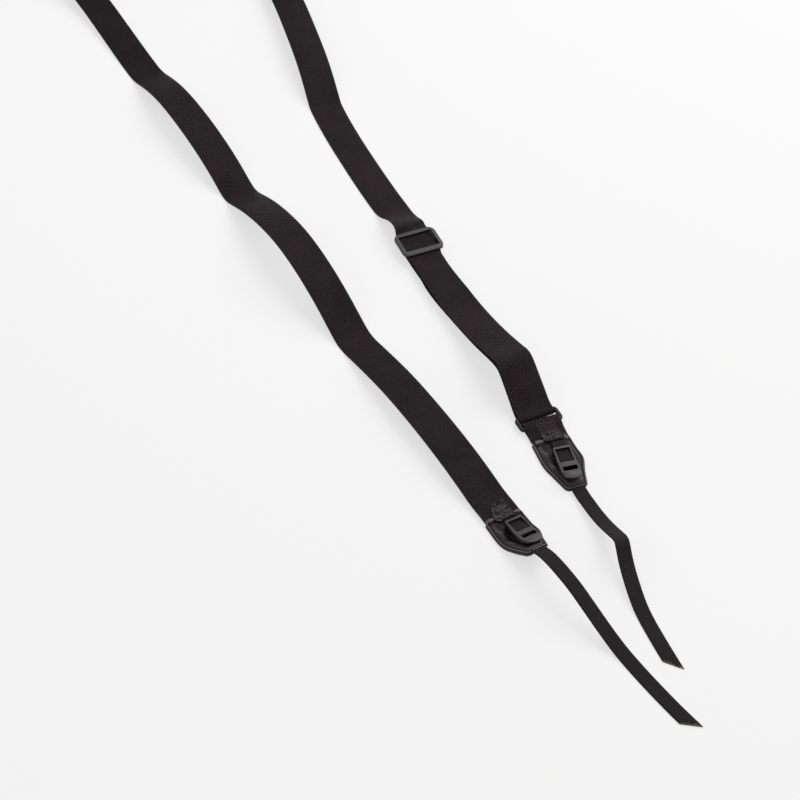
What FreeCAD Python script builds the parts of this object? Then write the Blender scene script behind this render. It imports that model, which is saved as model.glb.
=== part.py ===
import FreeCAD, Part
import math
import os

from FreeCAD import Placement, Rotation, Vector

# Adjustable camera neck strap, lying on a flat surface.
#
# One length of flat webbing is sewn into the left end tab, runs up behind the neck, comes down
# through a three-bar slider, round a rectangular ring and back to the slider's centre bar.
# A short connector hangs the right end tab on the ring.  Each tab is two leather panels round a
# stiffener, carries a ladder-lock buckle on a small webbing loop, and lets out a narrow tail
# that is threaded through a camera's lug and back into the buckle.
#
# Millimetres, +Z up, the surface at Z = 0, the strap's length along Y with the neck at +Y.

os.makedirs("parts", exist_ok=True)

# ---------------------------------------------------------------- driving dimensions
STRAP_WIDTH = 25.4          # one inch webbing
STRAP_THICK = 1.2
TAIL_WIDTH = 9.5            # three-eighths webbing of the tails and the buckle loops
TAIL_THICK = 1.1
LOOP_THICK = 0.8            # softer webbing of the buckle loops
PLY_GAP = 0.1               # air between plies that lie on each other
MOVING_GAP = 0.25           # air between pieces that slide or swing past each other
SIDE_PLAY = 0.25            # webbing edge to the side of a ring, slider or buckle

LEATHER = 1.25              # tab panel thickness
TAB_LENGTH = 44.5
TAB_TOP_HALF = 13.1         # half widths of the tab at its top edge, shoulder and tip
TAB_HALF = 13.3
TIP_HALF = 7.8
POCKET = 1.26               # height between a tab's panels
SEWN_LENGTH = 12.0          # webbing held inside a tab
TAIL_SEWN_LENGTH = 17.5     # tail held inside a tab
FILLER_INSET = 2.5
STITCH_INSET = 1.7
STITCH_PITCH = 3.0
STITCH_LENGTH = 2.2
THREAD = 0.45

BAR_RADIUS = 1.5            # rectangular ring
RING_BAR_SPACING = 10.0
RING_CORNER = 2.0

SLIDER_LENGTH = 25.0        # three-bar slider, along the strap
SLIDER_BAR = 4.0
SLIDER_RAIL = 2.9
SLIDER_CORNER = 5.5
SLIDER_DEPTH = 2.25         # height of the side rails
SLIDER_ARM = 3.1            # half length of the arms down to the centre bar
SLIDER_BAR_HEIGHT = 1.8
CENTRE_BAR_LENGTH = 6.0
CENTRE_BAR_HEIGHT = 1.3
TONGUE_LENGTH = 33.0        # sewn end of the strap below the slider's centre bar

BUCKLE_LENGTH = 30.0        # ladder-lock buckle
BUCKLE_TOP_HALF = 6.3
BUCKLE_HALF = 7.1
BUCKLE_TOP_BAR = 2.2
BUCKLE_WINDOW = 12.0
BUCKLE_MIDDLE_BAR = 4.3
BUCKLE_SLOT = 4.1
ANCHOR_RADIUS = 0.9
HINGE_Y = -5.4              # fold of the buckle loop, below the tab's top edge

# Tabs: place of the middle of the top edge's underside, turn about Z, and the lines across it
# where it is bent up, with their angles.  Buckles: sideways place, turn on the tab, lift of
# the far end and distance of the top bar; the two hang differently on their loops.
LEFT_TAB = {"x": -40.6, "y": -356.3, "z": 0.2, "yaw": 1.8,
            "folds": [(-13.5, 7.5), (-17.5, 7.5), (-21.5, 7.5), (-25.5, 7.5)],
            "offset": 2.1, "askew": -0.5, "lift": 12.5, "top_bar": -7.7}
RIGHT_TAB = {"x": 20.1, "y": -311.4, "z": 0.0, "yaw": -7.0, "folds": [],
             "offset": 2.7, "askew": -6.0, "lift": 0.0, "top_bar": -11.9}

RING_AT = Vector(22.16, -287.6, 3.0)      # middle of the ring's upper bar
RING_YAW = -2.5
SLIDER_AT = Vector(30.6, -102.0, 0.0)   # middle of the slider
SLIDER_YAW = -4.2

# Routes: x, y, z of the webbing's middle, and its roll from lying flat where that isn't 0.
STRAP_ROUTE = [
    (-40.23, -368.19, 2.08), (-40.80, -349.80, 2.08),
    (-42.1, -338, 2.9), (-43.2, -324, 6.2), (-44.7, -302, 9.6), (-46.8, -268, 11.2),
    (-49.4, -228, 10.0), (-51.3, -198, 5.4), (-52.2, -182, 2.2), (-52.8, -173, 0.6),
    (-53.3, -164, 0.6), (-53.9, -152, 5.6), (-54.7, -134, 13.4), (-55.9, -106, 21.2),
    (-57.2, -74, 24.4), (-58.4, -44, 20.4), (-59.5, -18, 13.0), (-60.3, 0, 5.4),
    (-60.7, 11, 0.6), (-61.1, 20, 0.6), (-61.9, 34, 6.2), (-62.9, 54, 11.8),
    (-64.2, 84, 15.9), (-65.6, 118, 16.6), (-66.5, 144, 13.2), (-67.3, 166, 7.0),
    (-67.6, 179, 2.2), (-68.0, 189, 0.6), (-68.3, 199, 0.6), (-68.9, 216, 1.3),
    (-69.8, 246, 3.0), (-71.0, 278, 5.2), (-72.9, 305, 7.8),
    (-75.3, 327, 10.2, 24), (-75.0, 348, 12.0, 50), (-68.5, 368, 12.7, 74),
    (-53.0, 385, 12.8, 90), (-27.0, 397.5, 12.8, 90), (2.0, 401.5, 12.8, 90),
    (30.0, 396.5, 12.8, 90), (54.0, 381, 12.8, 90), (69.5, 357, 12.8, 90),
    (75.9, 331, 12.8, 90), (77.4, 305, 12.7, 74), (76.9, 280, 12.4, 50),
    (75.9, 255, 12.0, 24), (73.9, 231, 11.8), (70.0, 207, 11.9), (62.0, 170, 13.6),
    (54.8, 136, 13.2), (49.4, 112, 10.4), (45.6, 95, 5.2), (43.6, 84.5, 0.6),
    (42.1, 76, 0.6), (40.3, 63, 0.6), (37.7, 38, 0.6), (35.7, 10, 0.6), (34.2, -14, 0.6),
    (33.3, -33, 0.6), (33.0, -43, 0.6), (32.7, -53, 1.5), (32.45, -62.5, 4.4),
    (32.3, -71, 8.1), (32.0, -79, 8.9), (31.65, -87.5, 6.25), (30.63, -101.2, 6.2),
    (29.28, -120, 6.2), (27.15, -148, 6.2),
    (26.6, -164, 6.3), (26.5, -179, 6.7), (26.2, -197, 8.8), (25.5, -219, 14.0),
    (25.1, -232, 17.9), (24.7, -242, 21.2), (24.5, -249, 23.7), (24.35, -254.3, 23.3),
    (24.0, -262, 18.2), (23.3, -273, 11.2), (22.365, -282.9, 5.4), (22.064, -289.8, 5.2),
    (22.064, -289.8, 0.8), (22.334, -283.6, 1.0), (23.1, -275, 6.4), (23.8, -264.5, 13.6),
    (24.2, -256.5, 19.2), (24.4, -250.5, 20.4), (24.9, -237, 16.8), (25.5, -219, 11.6),
    (26.2, -197, 5.8), (26.5, -181, 2.0), (26.6, -169, 0.6), (27.2, -147, 0.6),
    (28.9, -125, 0.6),
]
CONNECTOR_ROUTE = [
    (18.65, -323.21, 1.88), (20.93, -304.65, 1.88), (21.64, -299.4, 5.15),
    (21.82, -295.39, 5.2), (21.82, -295.39, 0.8), (21.60, -300.5, 0.62), (20.6, -309.4, 0.6),
]
LEFT_TAIL_ROUTE = [
    (-39.80, -381.84, 5.77), (-39.18, -401.58, 17.17), (-38.85, -411.5, 20.2),
    (-38.0, -423, 20.9), (-36.1, -436, 18.6), (-33.9, -451, 13.0), (-31.5, -465, 7.0),
    (-29.2, -477, 2.2), (-27.7, -487, 0.55), (-26.3, -501, 0.55), (-24.2, -517, 0.55),
    (-21.9, -532, 0.55), (-18.9, -547.2, 0.55),
]
RIGHT_TAIL_ROUTE = [
    (16.79, -338.40, 1.88), (14.04, -360.73, 1.88), (13.3, -370, 3.0), (12.6, -381, 3.9),
    (11.7, -394, 7.0), (10.3, -407, 13.0), (9.4, -415, 16.8), (8.2, -419, 16.2),
    (6.7, -425, 10.8), (4.6, -433, 7.0), (1.6, -445, 3.8), (-0.8, -456, 1.5),
    (-2.3, -466, 0.55), (-3.9, -479.5, 0.55), (-5.3, -493.2, 0.55), (-6.4, -506.6, 0.55),
]
TIP_SLANT = 50.0            # the tails' ends are cut this far off square

# ---------------------------------------------------------------- derived heights
PANEL_TOP = 2 * LEATHER + POCKET
STRAP_LEVEL = 6.2           # the strap's middle where it runs through the slider
PIVOT_Z = PANEL_TOP + MOVING_GAP + LOOP_THICK + PLY_GAP / 2

UP = Vector(0, 0, 1)


# ---------------------------------------------------------------- flat webbing
def corner(before, at, after):
    """Tangent length, turn and radius of the arc that rounds a route's corner."""
    into, out = at - before, after - at
    turn = into.getAngle(out)
    tangent = 0.45 * min(into.Length, out.Length)
    return tangent, turn, tangent / math.tan(turn / 2)


def stations(route):
    """Middle, direction and roll of the webbing's sections, along straight runs joined by
    tangent arcs, with a section every few degrees of an arc."""
    points = [Vector(*p[:3]) for p in route]
    rolls = [p[3] if len(p) > 3 else 0.0 for p in route]
    found = [(points[0], (points[1] - points[0]).normalize(), rolls[0])]
    radii = []
    for i in range(1, len(points) - 1):
        into = (points[i] - points[i - 1]).normalize()
        out = (points[i + 1] - points[i]).normalize()
        tangent, turn, radius = corner(points[i - 1], points[i], points[i + 1])
        radii.append(radius)
        start = points[i] - into * tangent
        axis = into.cross(out).normalize()
        centre = start + axis.cross(into) * radius
        share_in = tangent / (points[i] - points[i - 1]).Length
        share_out = tangent / (points[i + 1] - points[i]).Length
        roll_in = rolls[i] + (rolls[i - 1] - rolls[i]) * share_in
        roll_out = rolls[i] + (rolls[i + 1] - rolls[i]) * share_out
        steps = max(1, math.ceil(math.degrees(turn) / 12))
        for k in range(steps + 1):
            spin = Rotation(axis, math.degrees(turn) * k / steps)
            middle = centre + spin.multVec(start - centre)
            roll = roll_in + (roll_out - roll_in) * k / steps
            found.append((middle, spin.multVec(into), roll))
    found.append((points[-1], (points[-1] - points[-2]).normalize(), rolls[-1]))
    return found, radii


def frames(route):
    """Distance, middle, width direction and face normal of each of the webbing's sections."""
    sections, radii = stations(route)
    found = []
    across, last, distance = None, None, 0.0
    for middle, along, roll in sections:
        level = UP.cross(along)
        if level.Length < 0.3:
            level = across
        level = (level - along * level.dot(along)).normalize()
        if across is not None and level.dot(across) < 0:
            level = level * -1
        across = level
        if last is not None:
            distance += middle.distanceToPoint(last)
        last = middle
        spin = Rotation(along, roll)
        found.append((distance, middle, spin.multVec(level), spin.multVec(along.cross(level))))
    return found, radii


def band(name, route, width, thick):
    """A flat band along the route: its width lies level, or turned by the route's roll."""
    found, radii = frames(route)
    wires = []
    for _, middle, across, normal in found:
        side, face = across * (width / 2), normal * (thick / 2)
        corners = [middle + side + face, middle - side + face,
                   middle - side - face, middle + side - face]
        wires.append(Part.makePolygon(corners + corners[:1]))
    solid = Part.makeLoft(wires, True, True)
    length = found[-1][0]
    print(f"{name}: length {length:.1f}, smallest radii "
          f"{[round(r, 1) for r in sorted(radii)[:4]]}, volume / (section x length) "
          f"{solid.Volume / (width * thick * length):.4f}")
    return solid


def rows_across(route, places, half, lift):
    """Threads across a band at the given distances along it, their middles this far from
    the band's, on the side its normal points to."""
    found, _ = frames(route)
    rows = []
    for place in places:
        i = max(k for k in range(len(found) - 1) if found[k][0] <= place)
        (d0, m0, a0, n0), (d1, m1, _, _) = found[i], found[i + 1]
        middle = m0 + (m1 - m0) * ((place - d0) / (d1 - d0)) + n0 * lift
        rows.append(thread(middle - a0 * half, middle + a0 * half))
    return rows


# ---------------------------------------------------------------- small helpers
def save(name, shape):
    shape.exportStep(f"parts/{name}.step")
    box = shape.BoundBox
    print(f"{name}: valid {shape.isValid()}, solids {len(shape.Solids)}, volume "
          f"{shape.Volume:.1f}, z {box.ZMin:.2f}..{box.ZMax:.2f}")
    return shape


def slab(x0, x1, y0, y1, z0, z1):
    return Part.makeBox(x1 - x0, y1 - y0, z1 - z0, Vector(x0, y0, z0))


def extrude_outline(edges, z0, z1):
    wire = Part.Wire(edges)
    wire.translate(Vector(0, 0, z0))
    return Part.Face(wire).extrude(Vector(0, 0, z1 - z0))


def tab_placement(tab):
    return Placement(Vector(tab["x"], tab["y"], tab["z"]), Rotation(UP, tab["yaw"]))


def lifted(y, z, angle):
    """Turn about the line across the tab at (y, z) that lifts what lies beyond it."""
    turn = Placement(Vector(0, y, z), Rotation(Vector(1, 0, 0), -angle))
    return turn.multiply(Placement(Vector(0, -y, -z), Rotation()))


def bent(shape, folds):
    """A flat tab piece bent up along lines across it, the folds mitred."""
    if not folds:
        return shape
    place, pieces = Placement(), []
    for i in range(len(folds) + 1):
        y0, a0 = folds[i - 1] if i else (20.0, 0.0)
        y1, a1 = folds[i] if i < len(folds) else (-80.0, 0.0)
        t0, t1 = math.tan(math.radians(a0 / 2)), math.tan(math.radians(a1 / 2))
        low, high = -2.0, 8.0
        corners = [(y0 - low * t0, low), (y0 - high * t0, high),
                   (y1 + high * t1, high), (y1 + low * t1, low)]
        outline = Part.makePolygon([Vector(-30, y, z) for y, z in corners + corners[:1]])
        block = Part.Face(outline).extrude(Vector(60, 0, 0))
        if i:
            place = place.multiply(lifted(y0, 0, a0))
        for solid in shape.Solids:
            pieces += [placed(s, place) for s in solid.common(block).Solids]
    if len(shape.Solids) > 1:
        return Part.makeCompound(pieces)
    return pieces[0].fuse(pieces[1:]).removeSplitter()


def placed(shape, placement):
    moved = shape.copy()
    moved.Placement = placement.multiply(shape.Placement)
    return moved


def thread(start, end):
    """One visible stitch: a short thread lying between two points."""
    run = end - start
    return Part.makeCylinder(THREAD / 2, run.Length, start, run)


# ---------------------------------------------------------------- leather end tab
def tab_edges(inset=0.0):
    """Outline of the tab: a wide top, rounded shoulders and a taper to a blunt tip."""
    right = [
        Vector(TAB_TOP_HALF, 0, 0), Vector(TAB_HALF, -18.5, 0), Vector(TAB_HALF - 0.2, -22.2, 0),
        Vector(TAB_HALF - 1.0, -25.6, 0), Vector(TIP_HALF, -41.8, 0),
        Vector(TIP_HALF - 0.7, -43.8, 0), Vector(TIP_HALF - 2.5, -TAB_LENGTH, 0),
    ]
    left = [Vector(-p.x, p.y, 0) for p in right]
    edges = [
        Part.LineSegment(right[0], right[1]).toShape(),
        Part.Arc(right[1], right[2], right[3]).toShape(),
        Part.LineSegment(right[3], right[4]).toShape(),
        Part.Arc(right[4], right[5], right[6]).toShape(),
        Part.LineSegment(right[6], left[6]).toShape(),
        Part.Arc(left[6], left[5], left[4]).toShape(),
        Part.LineSegment(left[4], left[3]).toShape(),
        Part.Arc(left[3], left[2], left[1]).toShape(),
        Part.LineSegment(left[1], left[0]).toShape(),
        Part.LineSegment(left[0], right[0]).toShape(),
    ]
    if inset:
        edges = Part.Wire(edges).makeOffset2D(-inset).Edges
    return edges


def tab_back():
    return extrude_outline(tab_edges(), 0, LEATHER)


def tab_front():
    """Front panel: flat leather with its rim turned down to the back panel, open at the top
    for the webbing and at the tip for the tail, and with a turned edge beside the loop."""
    shell = extrude_outline(tab_edges(), LEATHER, PANEL_TOP)
    ceiling = LEATHER + POCKET
    half = STRAP_WIDTH / 2 + 0.05
    mouth = slab(-half, half, -SEWN_LENGTH - 0.1, 1, LEATHER, ceiling)
    inside = extrude_outline(tab_edges(FILLER_INSET - 0.05), LEATHER, ceiling)
    inside = inside.common(slab(-20, 20, -TAB_LENGTH, -SEWN_LENGTH - 0.05, 0, 10))
    half_tail = TAIL_WIDTH / 2 + 0.05
    outlet = slab(-half_tail, half_tail, -TAB_LENGTH - 1, -TAB_LENGTH + TAIL_SEWN_LENGTH,
                  LEATHER, ceiling)
    panel = shell.cut(mouth.fuse(inside).fuse(outlet))
    for side, gap in ((-1, 4.2), (1, 8.7)):
        start = Vector(side * gap, -0.9, PANEL_TOP - 0.1)
        turned_edge = Part.makeCylinder(0.75, TAB_TOP_HALF - 0.4 - gap, start,
                                        Vector(side, 0, 0))
        panel = panel.fuse(turned_edge)
    return panel.removeSplitter()


def tab_filler():
    """Stiffener between the panels, below the end of the webbing and round the tail."""
    z0, z1 = LEATHER + 0.03, LEATHER + POCKET - 0.03
    board = extrude_outline(tab_edges(FILLER_INSET), z0, z1)
    board = board.common(slab(-20, 20, -TAB_LENGTH, -SEWN_LENGTH - 0.2, 0, 10))
    half = TAIL_WIDTH / 2 + 0.1
    return board.cut(slab(-half, half, -TAB_LENGTH - 1, -TAB_LENGTH + TAIL_SEWN_LENGTH + 0.1,
                          0, 10))


def tab_stitching():
    """Stitches round the tab, from one top corner by the tip to the other."""
    line = Part.Wire(Part.sortEdges(tab_edges(STITCH_INSET))[0])
    count = int(line.Length / STITCH_PITCH)
    ends = line.discretize(count * 6 + 1)
    height = PANEL_TOP + THREAD / 2
    stitches = []
    for i in range(count):
        a, b = ends[6 * i], ends[6 * i + 4]
        if max(a.y, b.y) > -STITCH_INSET - 1.0:
            continue
        stitches.append(thread(Vector(a.x, a.y, height), Vector(b.x, b.y, height)))
    return Part.makeCompound(stitches)


# ---------------------------------------------------------------- buckle and its loop
LOOP_LOW = PANEL_TOP + MOVING_GAP + LOOP_THICK / 2
LOOP_HIGH = LOOP_LOW + LOOP_THICK + PLY_GAP
ANCHOR_TURN = ANCHOR_RADIUS + 0.05 + LOOP_THICK / 2
ANCHOR_Z = LOOP_LOW + ANCHOR_TURN
ANCHOR_INSET = ANCHOR_TURN + LOOP_THICK / 2 + 0.3   # from the window's low edge
SEWN_END_TOP = 3.9          # the loop's sewn end lies on the webbing above the tab
SEWN_END_BOTTOM = -3.9


def anchor_y(top_bar):
    return top_bar - BUCKLE_TOP_BAR - BUCKLE_WINDOW + ANCHOR_INSET


def buckle(top_bar):
    """Ladder lock: two rails, a top bar, a window with the anchor bar low in it, a middle
    bar, the slot for the tail's webbing, and a rounded lip that rises from the tab."""
    base = PANEL_TOP + 0.6
    y0 = top_bar
    y_window = y0 - BUCKLE_TOP_BAR
    y_middle = y_window - BUCKLE_WINDOW
    y_slot = y_middle - BUCKLE_MIDDLE_BAR
    y_lip = y_slot - BUCKLE_SLOT
    y_end = y0 - BUCKLE_LENGTH
    right = [Vector(BUCKLE_TOP_HALF - 1.2, y0, 0), Vector(BUCKLE_TOP_HALF, y0 - 1.2, 0),
             Vector(BUCKLE_HALF, y_middle, 0), Vector(BUCKLE_HALF, y_lip + 1.0, 0),
             Vector(BUCKLE_HALF * 0.74, y_end + 2.1, 0)]
    left = [Vector(-p.x, p.y, 0) for p in right]
    nose = Vector(0, y_end, 0)
    edges = [Part.LineSegment(a, b).toShape() for a, b in zip(right[:-1], right[1:])]
    edges.append(Part.Arc(right[-1], nose, left[-1]).toShape())
    edges += [Part.LineSegment(a, b).toShape() for a, b in zip(left[:0:-1], left[-2::-1])]
    edges.append(Part.LineSegment(left[0], right[0]).toShape())
    plan = extrude_outline(edges, base, base + 8)

    side = [(y0, base + 0.3), (y0, base + 2.9), (y0 - 0.5, base + 3.35),
            (y_middle, base + 3.35), (y_slot, base + 3.8), (y_lip, base + 4.1),
            (y_end + 2.2, base + 5.1), (y_end, base + 4.6), (y_end, base + 3.8),
            (y_lip, base + 1.4), (y_slot - 0.8, base)]
    outline = Part.makePolygon([Vector(-10, y, z) for y, z in side + side[:1]])
    body = plan.common(Part.Face(outline).extrude(Vector(20, 0, 0)))

    half = TAIL_WIDTH / 2 + SIDE_PLAY
    body = body.cut(slab(-half, half, y_middle, y_window, 0, 20))
    body = body.cut(slab(-half, half, y_lip, y_slot, 0, 20))
    under_bar = LOOP_HIGH + LOOP_THICK / 2 + MOVING_GAP
    body = body.cut(slab(-half, half, y_window - 0.1, y0 + 1, 0, under_bar))
    body = body.cut(slab(-half, half, y_slot - 0.1, y_middle + 0.1, 0, base + 1.3))
    anchor = Part.makeCylinder(ANCHOR_RADIUS, 2 * half + 1.0,
                               Vector(-half - 0.5, anchor_y(top_bar), ANCHOR_Z), Vector(1, 0, 0))
    return body.fuse(anchor).removeSplitter()


def buckle_loop(top_bar):
    """Narrow webbing round the anchor bar, both ends gathered at the fold where it swings."""
    far = anchor_y(top_bar) - ANCHOR_TURN
    route = [(0, HINGE_Y, LOOP_LOW), (0, far, LOOP_LOW), (0, far, LOOP_LOW + 2 * ANCHOR_TURN),
             (0, anchor_y(top_bar) + 1.6, LOOP_LOW + 2 * ANCHOR_TURN),
             (0, top_bar - BUCKLE_TOP_BAR - 0.4, LOOP_HIGH), (0, HINGE_Y, LOOP_HIGH)]
    webbing = band("buckle loop", route, TAIL_WIDTH, LOOP_THICK)
    root = Part.makeCylinder(LOOP_THICK + PLY_GAP / 2, TAIL_WIDTH,
                             Vector(-TAIL_WIDTH / 2, HINGE_Y, PIVOT_Z), Vector(1, 0, 0))
    return webbing.fuse(root).removeSplitter()


def loop_end_route(ply):
    """The loop's ends step up from the strap's webbing onto the tab's top edge."""
    lift = LOOP_THICK / 2 + ply * (LOOP_THICK + 0.02) + 0.02
    low, high = PANEL_TOP - LEATHER + lift + 0.12, PANEL_TOP + lift
    return [(0, SEWN_END_TOP, low), (0, 2.9, low), (0, 1.3, high), (0, SEWN_END_BOTTOM, high)]


def loop_end():
    """The loop's two ends, one on the other, sewn over the tab's top edge."""
    return Part.makeCompound([band("loop end ply", loop_end_route(ply), TAIL_WIDTH, LOOP_THICK)
                              for ply in (0, 1)])


def bartack():
    """Dense rows of thread that hold the loop's ends, the webbing and the tab together."""
    lift = LOOP_THICK / 2 + THREAD / 2 + 0.03
    return Part.makeCompound(rows_across(loop_end_route(1), [0.4 + 0.72 * i for i in range(11)],
                                         TAIL_WIDTH / 2, lift))


# ---------------------------------------------------------------- ring, connector, slider
def ring():
    """Rectangular ring of round bar; the strap turns round one long side, the connector
    round the other."""
    half = STRAP_WIDTH / 2 + SIDE_PLAY + BAR_RADIUS
    c = RING_CORNER
    low = -RING_BAR_SPACING
    k = c * (1 - math.sqrt(0.5))
    points = [
        (-half + c, 0), (half - c, 0), (half - k, -k), (half, -c), (half, low + c),
        (half - k, low + k), (half - c, low), (-half + c, low), (-half + k, low + k),
        (-half, low + c), (-half, -c), (-half + k, -k),
    ]
    p = [Vector(x, y, 0) for x, y in points]
    edges = [
        Part.LineSegment(p[0], p[1]).toShape(), Part.Arc(p[1], p[2], p[3]).toShape(),
        Part.LineSegment(p[3], p[4]).toShape(), Part.Arc(p[4], p[5], p[6]).toShape(),
        Part.LineSegment(p[6], p[7]).toShape(), Part.Arc(p[7], p[8], p[9]).toShape(),
        Part.LineSegment(p[9], p[10]).toShape(), Part.Arc(p[10], p[11], p[0]).toShape(),
    ]
    section = Part.Wire(Part.makeCircle(BAR_RADIUS, p[0], Vector(1, 0, 0)))
    return Part.Wire(edges).makePipeShell([section], True, False)


def connector_stitching():
    """Block of thread that closes the connector's loop just below the ring."""
    lift = STRAP_THICK / 2 + THREAD / 2 + 0.12
    return Part.makeCompound(rows_across(CONNECTOR_ROUTE, [19.6 + 0.8 * i for i in range(5)],
                                         7.2, lift))


def slider():
    """Three-bar slider: a flat frame with two outer bars over the strap, and a centre bar
    under the strap that hangs on a short arm at each side."""
    half_open = STRAP_WIDTH / 2 + SIDE_PLAY
    half = half_open + SLIDER_RAIL
    end = SLIDER_LENGTH / 2
    bar_low = STRAP_LEVEL + STRAP_THICK / 2 + MOVING_GAP
    top = bar_low + SLIDER_BAR_HEIGHT
    rail_low = top - SLIDER_DEPTH
    block = slab(-half, half, -end, end, rail_low, top)
    upright = [e for e in block.Edges if abs(e.tangentAt(e.FirstParameter).z) > 0.99]
    block = block.makeFillet(SLIDER_CORNER, upright)
    rim = [e for e in block.Edges if e.BoundBox.ZMin > top - 0.01]
    block = block.makeChamfer(0.7, rim)
    window = slab(-half_open, half_open, -end + SLIDER_BAR, end - SLIDER_BAR, 0, 20)
    under = slab(-half_open, half_open, -end - 1, end + 1, 0, bar_low)
    centre_z = STRAP_LEVEL - STRAP_THICK / 2 - MOVING_GAP - STRAP_THICK - PLY_GAP
    centre_low = centre_z - CENTRE_BAR_HEIGHT
    centre = slab(-half_open - 0.5, half_open + 0.5, -CENTRE_BAR_LENGTH / 2,
                  CENTRE_BAR_LENGTH / 2, centre_low, centre_z)
    long_edges = [e for e in centre.Edges if abs(e.tangentAt(e.FirstParameter).x) > 0.99]
    centre = centre.makeFillet(0.6, long_edges)
    frame = block.cut(window).cut(under).fuse(centre)
    for side in (-1, 1):
        x0, x1 = sorted((side * half_open, side * (half - 0.6)))
        frame = frame.fuse(slab(x0, x1, -SLIDER_ARM, SLIDER_ARM, centre_low, rail_low + 0.1))
    return frame.removeSplitter(), centre_z


def end_loop(centre_z):
    """The strap's sewn end: round the slider's centre bar and back on itself."""
    turn = CENTRE_BAR_HEIGHT / 2 + PLY_GAP + STRAP_THICK / 2
    middle = centre_z - CENTRE_BAR_HEIGHT / 2
    low, high = middle - turn, middle + turn
    back = CENTRE_BAR_LENGTH / 2 + PLY_GAP + STRAP_THICK / 2
    folded = low + STRAP_THICK + PLY_GAP
    route = [(0, -TONGUE_LENGTH, low), (0, back, low), (0, back, high), (0, -4.2, high),
             (0, -8.6, folded), (0, -20.0, folded)]
    return band("end loop", route, STRAP_WIDTH, STRAP_THICK), folded + STRAP_THICK / 2


def end_loop_stitching(top):
    """Rows of thread through the folded end of the strap."""
    half = STRAP_WIDTH / 2 - 2.5
    z = top + THREAD / 2
    rows = [thread(Vector(-half, y, z), Vector(half, y, z)) for y in (-11.5, -18.0)]
    rows += [thread(Vector(-half, -12.2, z), Vector(half - 0.6, -17.4, z))]
    return Part.makeCompound(rows)


# ---------------------------------------------------------------- build every node
def slanted_end(solid, route, width, slant):
    """Cut a tail's end on the slant, so that its right-hand edge is the longer one."""
    last, before = Vector(*route[-1]), Vector(*route[-2])
    along = (last - before).normalize()
    middle = last - along * (width / 2 * math.tan(math.radians(slant)))
    heading = math.degrees(math.atan2(along.y, along.x))
    wedge = Part.makeBox(60, 120, 20, Vector(0, -60, -10))
    wedge.Placement = Placement(middle, Rotation(UP, heading - slant))
    return solid.cut(wedge)


save("strap_webbing", band("strap", STRAP_ROUTE, STRAP_WIDTH, STRAP_THICK))
save("connector_webbing", band("connector", CONNECTOR_ROUTE, STRAP_WIDTH, STRAP_THICK))
save("connector_stitching", connector_stitching())

ring_place = Placement(RING_AT, Rotation(UP, RING_YAW))
save("ring", placed(ring(), ring_place))

slider_place = Placement(SLIDER_AT, Rotation(UP, SLIDER_YAW))
slider_frame, centre_bar_top = slider()
sewn_end, sewn_top = end_loop(centre_bar_top)
save("slider", placed(slider_frame, slider_place))
save("strap_end_loop", placed(sewn_end, slider_place))
save("strap_end_stitching", placed(end_loop_stitching(sewn_top), slider_place))

for side, tab in (("left", LEFT_TAB), ("right", RIGHT_TAB)):
    place = tab_placement(tab)
    for piece, shape in (("tab_back", tab_back()), ("tab_front", tab_front()),
                         ("tab_stiffener", tab_filler()), ("tab_stitching", tab_stitching())):
        save(f"{side}_{piece}", placed(bent(shape, tab["folds"]), place))
    fold = Placement(Vector(tab["offset"], HINGE_Y, 0), Rotation(UP, tab["askew"]))
    sewn = place.multiply(fold).multiply(Placement(Vector(0, -HINGE_Y, 0), Rotation()))
    hung = sewn.multiply(lifted(HINGE_Y, PIVOT_Z, tab["lift"]))
    save(f"{side}_loop_end", placed(loop_end(), sewn))
    save(f"{side}_bartack", placed(bartack(), sewn))
    save(f"{side}_buckle_loop", placed(buckle_loop(tab["top_bar"]), hung))
    save(f"{side}_buckle", placed(buckle(tab["top_bar"]), hung))
    pivot = sewn.multVec(Vector(0, HINGE_Y, PIVOT_Z))
    axis = sewn.Rotation.multVec(Vector(-1, 0, 0))
    print(f"{side} buckle fold at {pivot.x:.3f} {pivot.y:.3f} {pivot.z:.3f}, axis "
          f"{axis.x:.5f} {axis.y:.5f} {axis.z:.5f}")

for side, route in (("left", LEFT_TAIL_ROUTE), ("right", RIGHT_TAIL_ROUTE)):
    tail = band(f"{side} tail", route, TAIL_WIDTH, TAIL_THICK)
    save(f"{side}_tail_webbing", slanted_end(tail, route, TAIL_WIDTH, TIP_SLANT))

lower_bar = ring_place.multVec(Vector(0, -RING_BAR_SPACING, 0))
ring_axis = ring_place.Rotation.multVec(Vector(-1, 0, 0))
slide_axis = slider_place.Rotation.multVec(Vector(0, -1, 0))
print(f"ring bars at {RING_AT} and {lower_bar}, axis {ring_axis}; slider axis {slide_axis}")
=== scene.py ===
import bmesh
import bpy
import math
import random
from mathutils import Matrix, Vector, noise


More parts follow.
